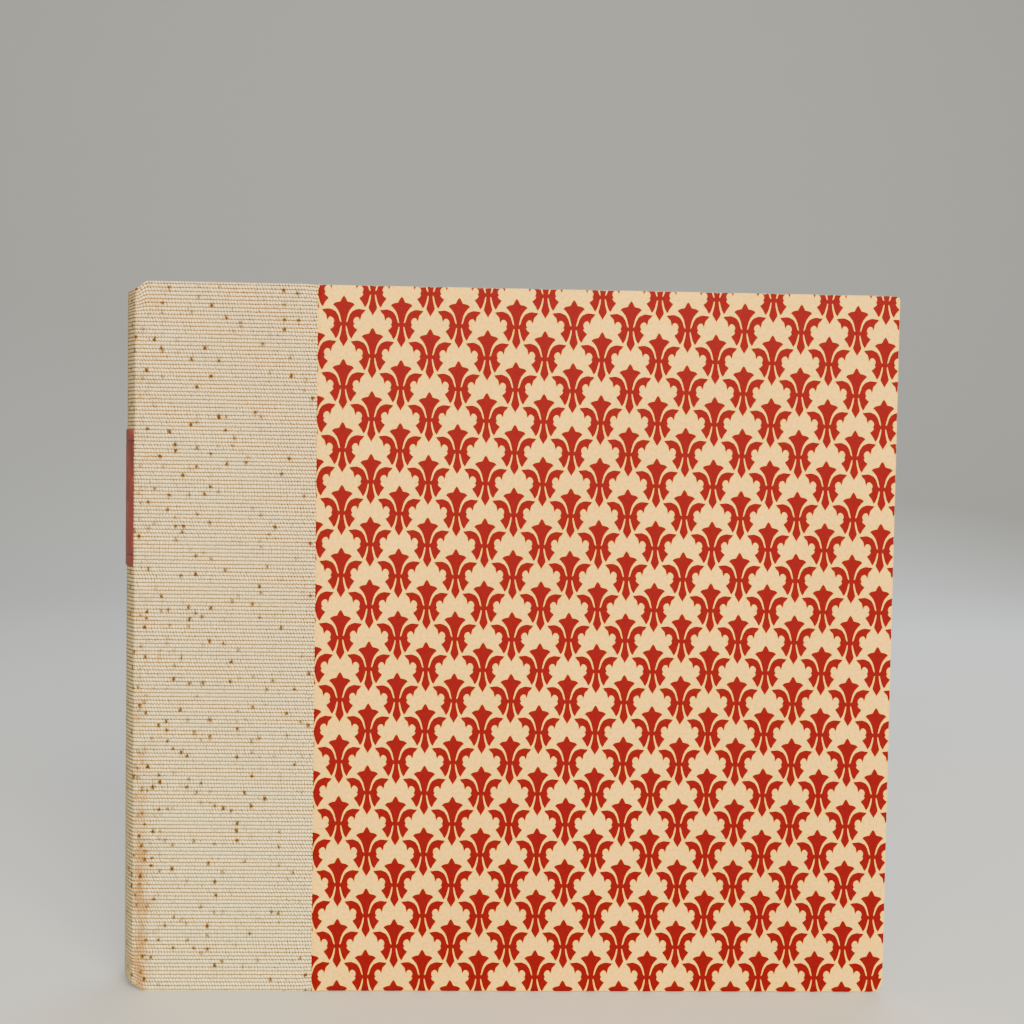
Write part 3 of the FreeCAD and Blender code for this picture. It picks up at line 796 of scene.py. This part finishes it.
class ALBUM_OT_paper(bpy.types.Operator):
    """Wrap the rest of both boards in printed paper, lapped over the cloth"""
    bl_idname = "album.paper"
    bl_label = "Printed paper"

    def execute(self, context):
        settings = context.scene.album_paper
        material = printed_paper(settings)
        edge = 0.5 * MM
        bumped, sharp = 5.3 * MM, 1.8 * MM  # radii of the fore corners at tail and head
        lap_y, face_y = -PAPER_LOW.y, -BOARD_LOW.y + 0.3 * MM
        inner_y = TURN_IN_Y - 0.05 * MM
        fore = PAPER_HIGH.x
        low, high = PAPER_LOW.z, PAPER_HIGH.z
        turns = [radians(a) for a in (0, 20, 40, 60, 75, 90)]
        places = [LAP, LAP + 0.15 * MM, LAP + 2 * MM, LAP + 3.7 * MM, LAP + 4.3 * MM, LAP + 5 * MM]
        span = fore - JOINT_X
        places += [LAP + 5 * MM + (span - LAP - 11 * MM) * k / 16 for k in range(1, 17)]
        places += [span - bumped + bumped * sin(a) for a in turns[:-1]]
        places += [span - edge + edge * sin(a) for a in turns[2:]]
        rows = even_rows(edge, high - low, 24, close=(0.8 * MM, 1.6 * MM, 3 * MM, 6 * MM))
        for side_name, side in SIDES.items():
            stations = []
            for along in sorted(set(places)):
                y = lap_y + (face_y - lap_y) * ease((along - LAP - 3.6 * MM) / (0.9 * MM))
                if along < LAP + 0.1 * MM:
                    y -= 0.1 * MM
                over = max(0.0, along - (span - edge))
                pull = edge - sqrt(max(0.0, edge ** 2 - over ** 2))
                corner = [radius - sqrt(max(0.0, radius ** 2 - max(0.0, along - span + radius) ** 2))
                          for radius in (bumped, sharp)]
                stations.append(station(JOINT_X + along, side * (y - pull), (0, side, 0),
                                        y - inner_y - 2 * pull, low + min(corner[0], bumped - edge),
                                        high - min(corner[1], sharp - edge), along, low))
            piece = covered_board(f"{side_name}_printed_paper", stations, rows, edge, high - low, material)
            across = LAP + settings.first_column + settings.repeat_across / 2
            for loop in piece.data.uv_layers[0].data:
                loop.uv = (loop.uv.x - across, high - low - settings.first_tip - loop.uv.y)
            if side > 0:
                piece.data.flip_normals()
            set_points(piece, "rub",
                       lambda p: exp(-min(high - p.z, fore - p.x, 1.5 * p.z) / (0.7 * MM)))
            declare(piece, "patterned_paper", f"{side_name}_paper", f"{side_name}_cover")
        return {"FINISHED"}


LINE_MARGIN = 5 * MM  # from the label's ends to its tooled lines
LINE_DEPTH = 0.22 * MM


class ALBUM_OT_label(bpy.types.Operator):
    """Put the blind-tooled leather label on the spine"""
    bl_idname = "album.label"
    bl_label = "Spine label"

    def execute(self, context):
        material = label_leather(context.scene.album_block)
        edge = 0.18 * MM
        tall = LABEL_HIGH.z - LABEL_LOW.z
        tooled = [LINE_MARGIN, tall - LINE_MARGIN]
        close = [mark + d * 0.12 * MM for mark in tooled for d in range(-5, 6)]
        rows = sorted(set(even_rows(edge, tall, 40) + close))
        outer = SPINE_R + 0.5 * MM
        reach = asin(LABEL_HIGH.y / outer)
        stations = []
        for k in range(37):
            angle = reach * (k / 18 - 1)
            out = (-cos(angle), -sin(angle), 0)
            pared = 0.25 * MM * (1 - ease((1 - abs(k / 18 - 1)) * 8))
            stations.append(station(SPINE_X + out[0] * (outer - pared), out[1] * (outer - pared), out,
                                    0.9 * MM - pared, LABEL_LOW.z, LABEL_HIGH.z, angle * outer,
                                    LABEL_LOW.z))
        piece = covered_board("leather_spine_label", stations, rows, edge, tall, material)
        centre = Vector((SPINE_X, 0, 0))

        def groove(point):
            away = min(abs(point.z - LABEL_LOW.z - mark) for mark in tooled)
            return 1 - ease(away / (0.5 * MM))

        for vertex in piece.data.vertices:
            radial = Vector((vertex.co.x, vertex.co.y, 0)) - centre
            if radial.length > SPINE_R:
                inward = LINE_DEPTH * groove(vertex.co)
                inward -= 0.05 * MM * noise.noise(vertex.co * 180)
                vertex.co -= radial.normalized() * inward
        set_points(piece, "tooled", groove)
        declare(piece, "label_leather", "spine_label", "book_block")
        return {"FINISHED"}


def turning_sheet(name, hinge, thick, height, low, fore, wave, material):
    """A leaf or flyleaf from its scored line outwards, gently waved, with softened fore corners."""
    x, y = hinge[0], hinge[1]
    span = fore - x
    corner = 1.2 * MM
    creases = [-0.4, -0.15, 0, 0.15, 0.4, 1.2, 4]
    places = [c * MM for c in creases] + [4 * MM + (span - 8 * MM) * k / 22 for k in range(1, 23)]
    places += [span - corner + corner * share for share in (0, 0.4, 0.7, 0.9, 1.0)]
    edge = 0.3 * thick
    stations = []
    for along in sorted(set(places)):
        score = 0.18 * thick if abs(along) < 0.2 * MM else 0.0
        drawn = corner - sqrt(max(0.0, corner ** 2 - max(0.0, along - span + corner) ** 2))
        drawn = min(drawn, 0.8 * corner)
        stations.append(station(x + along, y - thick / 2 + score, (0, -1, 0), thick - 2 * score,
                                low + drawn, low + height - drawn, along, low))
    piece = covered_board(name, stations, even_rows(edge, height, 20), edge, height, material)
    for vertex in piece.data.vertices:
        away = ease((vertex.co.x - x) / (60 * MM))
        place = Vector((vertex.co.x * 9, y * 400, vertex.co.z * 9))
        vertex.co.y += wave * away * noise.noise(place)
    return piece


class ALBUM_OT_leaves(bpy.types.Operator):
    """Hang the blank card leaves and the two flyleaves on their scored lines"""
    bl_idname = "album.leaves"
    bl_label = "Leaves"

    def execute(self, context):
        settings = context.scene.album_block
        card = card_stock("cream_card_leaf", settings.card, "b89d6c", 420.0, 0.03 * MM)
        paper = card_stock("laid_endpaper", settings.endpaper, "bda67a", 600.0, 0.02 * MM)
        jobs = [(name, card, "leaf_card", settings.sag) for name in LEAVES]
        jobs += [(f"{side}_flyleaf", paper, "endpaper", 0.09 * MM) for side in SIDES]
        for name, material, slot_name, wave in jobs:
            low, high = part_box(name)
            hinge = HINGE[name]["pos_m"]
            piece = turning_sheet(f"{name}_sheet", hinge, high.y - low.y, high.z - low.z, low.z, high.x,
                                  wave, material)
            seam = [(hinge[0] + reach, hinge[1], 0) for reach in (-CREASE_SOFT, CREASE_SOFT)]
            declare(piece, slot_name, name, "book_block", name, seam=seam)
        for side_name, side in SIDES.items():
            tab_low, tab_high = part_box(f"{side_name}_flyleaf_tab")
            node = frame["nodes"][f"{side_name}_pastedown"]
            paste_low, paste_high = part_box(node.name)
            paste_y = min(abs(paste_low.y), abs(paste_high.y)) - 0.01 * MM
            tab_y = max(abs(tab_low.y), abs(tab_high.y))
            first, last = paste_low.x + 0.1 * MM, tab_low.x + 0.5 * MM
            stations = []
            for k in range(13):
                share = k / 12
                y = paste_y + (tab_y - paste_y) * ease(share * 1.6 - 0.6)
                stations.append(station(first + (last - first) * share, side * y, (0, side, 0),
                                        0.2 * MM, paste_low.z, paste_high.z, share, paste_low.z))
            tall = paste_high.z - paste_low.z
            strip = covered_board(f"{side_name}_joint_strip", stations, even_rows(0.06 * MM, tall, 12),
                                  0.06 * MM, tall, paper)
            if side > 0:
                strip.data.flip_normals()
            declare(strip, "endpaper", None, "book_block", f"{side_name}_cover",
                    seam=[(last, side * tab_y, 0), (first, side * tab_y, 0)])
        return {"FINISHED"}


class ALBUM_OT_bands(bpy.types.Operator):
    """Wind the silk head and tail bands"""
    bl_idname = "album.bands"
    bl_label = "Head and tail bands"

    def execute(self, context):
        pale = dyed_thread("cream_silk", "d9c8a0")
        dark = dyed_thread("madder_silk", "9c2a26")
        tree = band_tree()
        for name in ("headband", "tailband"):
            low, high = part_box(name)
            radius = (high.z - low.z) / 2
            ring = SPINE_X - (low.x + radius)
            reach = asin((high.y - radius) / ring)
            points = [(SPINE_X - ring * cos(a), ring * sin(a), (low.z + high.z) / 2)
                      for a in [reach * (k / 20 - 1) for k in range(41)]]
            mesh = bpy.data.meshes.new(f"{name}_silk")
            mesh.from_pydata(points, [(k, k + 1) for k in range(40)], [])
            piece = add_object(f"{name}_silk", mesh)
            bake(piece, tree, **{"Turn pitch": 0.42 * MM, "Cord radius": radius - 0.2 * MM,
                                 "Silk radius": 0.23 * MM, "Turns per stripe": 5, "Pale silk": pale,
                                 "Dark silk": dark})
            piece.data.shade_smooth()
            declare(piece, "silk_band", name, "book_block")
        return {"FINISHED"}


class ALBUM_OT_inner_finishes(bpy.types.Operator):
    """Give the boards, linings, stubs and thread their own finishes"""
    bl_idname = "album.inner_finishes"
    bl_label = "Inner finishes"

    def execute(self, context):
        finishes = {
            "grey_board": card_stock("pressed_grey_board", "8d8574", "6d6452", 300.0, 0.08 * MM),
            "card": card_stock("manila_card", "b9a272", "9c8456", 380.0, 0.04 * MM),
            "kraft_paper": card_stock("kraft_tube_paper", "a07c4e", "84633a", 500.0, 0.03 * MM),
            "leaf_card": bpy.data.materials["cream_card_leaf"],
            "endpaper": bpy.data.materials["laid_endpaper"],
            "gauze": gauze_weave(),
            "linen_thread": dyed_thread("waxed_linen_thread", "dccba0"),
        }
        slots = {entry["node"]: entry["material_slot"] for entry in frame["record"]["subparts"]}
        for name, node in frame["nodes"].items():
            if slots[name] in finishes:
                node.data.materials.clear()
                node.data.materials.append(finishes[slots[name]])
        return {"FINISHED"}


# ---------------- floor, light and camera
def soft_light(name, place, aim, size, power, hex_colour):
    """A rectangular soft box that faces a point."""
    lamp = bpy.data.lights.new(name, "AREA")
    lamp.shape = "RECTANGLE"
    lamp.size, lamp.size_y = size
    lamp.energy = power
    lamp.color = linear(hex_colour)[:3]
    light = add_object(name, lamp)
    light.location = place
    light.rotation_mode = "QUATERNION"
    light.rotation_quaternion = (Vector(aim) - Vector(place)).to_track_quat("-Z", "Y")


CAMERA_AT = (-0.0171, -0.5668, 0.2286)
CAMERA_TURN_DROP_ROLL = (-1.88, 2.02, 0.89)  # degrees


class ALBUM_OT_stage(bpy.types.Operator):
    """Set the floor, the soft light and the camera"""
    bl_idname = "album.stage"
    bl_label = "Stage"

    def execute(self, context):
        settings = context.scene.album_stage
        material = surface("pale_paper_floor", Roughness=0.9, Base_Color=linear(settings.floor))[0]
        half, far, rise, bend, steps = 6.0, 3.0, 4.0, 1.5, 10
        drop = 0.1 * MM  # floor just below the album's tail edges
        line = [(-half, -drop)]
        for k in range(steps + 1):
            angle = pi / 2 * k / steps
            line.append((far - bend + bend * sin(angle), bend - bend * cos(angle) - drop))
        line.append((far, rise))
        points = [(x, y, z) for y, z in line for x in (-half, half)]
        faces = [(2 * k, 2 * k + 1, 2 * k + 3, 2 * k + 2) for k in range(len(line) - 1)]
        floor = mesh_object("floor", points, faces, material, 80.0)
        world = bpy.data.worlds.new("pale_room")
        world.use_nodes = True
        fill(world.node_tree.nodes["Background"], {"Color": linear("dfe2e6"), "Strength": 0.55})
        context.scene.world = world
        centre = (0, 0, HEAD / 2)
        for name, place, size, power, tint in (("key", (0.5, -1.6, 1.1), (1.2, 1.0), 58, "fff0d2"),
                                               ("fill", (-0.5, -1.8, 0.5), (1.0, 1.0), 23, "fff0d4"),
                                               ("low_front", (0.1, -1.7, 0.5), (1.2, 0.6), 13, "fff0d8"),
                                               ("back", (0.6, 1.4, 1.3), (1.4, 1.2), 26, "f4f6ff")):
            soft_light(name, place, centre, size, power, tint)
        camera_data = bpy.data.cameras.new("camera")
        camera_data.lens = settings.lens
        camera_data.sensor_width = 36.0
        camera = add_object("camera", camera_data)
        turn, drop, roll = (radians(a) for a in CAMERA_TURN_DROP_ROLL)
        look = Vector((-sin(turn) * cos(drop), cos(turn) * cos(drop), -sin(drop)))
        right = look.cross(Vector((0, 0, 1))).normalized()
        up = right.cross(look)
        right, up = (right * cos(roll) + up * sin(roll),
                     up * cos(roll) - right * sin(roll))
        camera.location = CAMERA_AT
        camera.rotation_mode = "QUATERNION"
        camera.rotation_quaternion = Matrix((right, up, -look)).transposed().to_quaternion()
        context.scene.camera = camera
        return {"FINISHED"}


class ALBUM_PT_panel(bpy.types.Panel):
    """Buttons and settings for each group of the album's pieces"""
    bl_idname = "ALBUM_PT_panel"
    bl_label = "Scrapbook album"
    bl_space_type = "VIEW_3D"
    bl_region_type = "UI"
    bl_category = "Album"

    def draw(self, context):
        for group in GROUPS:
            settings = getattr(context.scene, group)
            for name in settings.bl_rna.properties.keys():
                if name not in ("rna_type", "name"):
                    self.layout.prop(settings, name)
        for operator in OPERATORS:
            self.layout.operator(operator.bl_idname)


GROUPS = {"album_cloth": AlbumClothSettings, "album_paper": AlbumPaperSettings,
          "album_block": AlbumBlockSettings, "album_stage": AlbumStageSettings}
OPERATORS = (ALBUM_OT_cloth, ALBUM_OT_paper, ALBUM_OT_label, ALBUM_OT_leaves, ALBUM_OT_bands,
             ALBUM_OT_inner_finishes, ALBUM_OT_stage)


def register():
    for cls in (*GROUPS.values(), *OPERATORS, ALBUM_PT_panel):
        bpy.utils.register_class(cls)
    for name, cls in GROUPS.items():
        setattr(bpy.types.Scene, name, bpy.props.PointerProperty(type=cls))


def unregister():
    for name in GROUPS:
        delattr(bpy.types.Scene, name)
    for cls in (ALBUM_PT_panel, *reversed(OPERATORS), *reversed(list(GROUPS.values()))):
        bpy.utils.unregister_class(cls)


def main():
    register()
    bpy.ops.album.cloth()
    bpy.ops.album.paper()
    bpy.ops.album.label()
    bpy.ops.album.leaves()
    bpy.ops.album.bands()
    bpy.ops.album.inner_finishes()
    bpy.ops.album.stage()


if __name__ == "__main__":
    main()
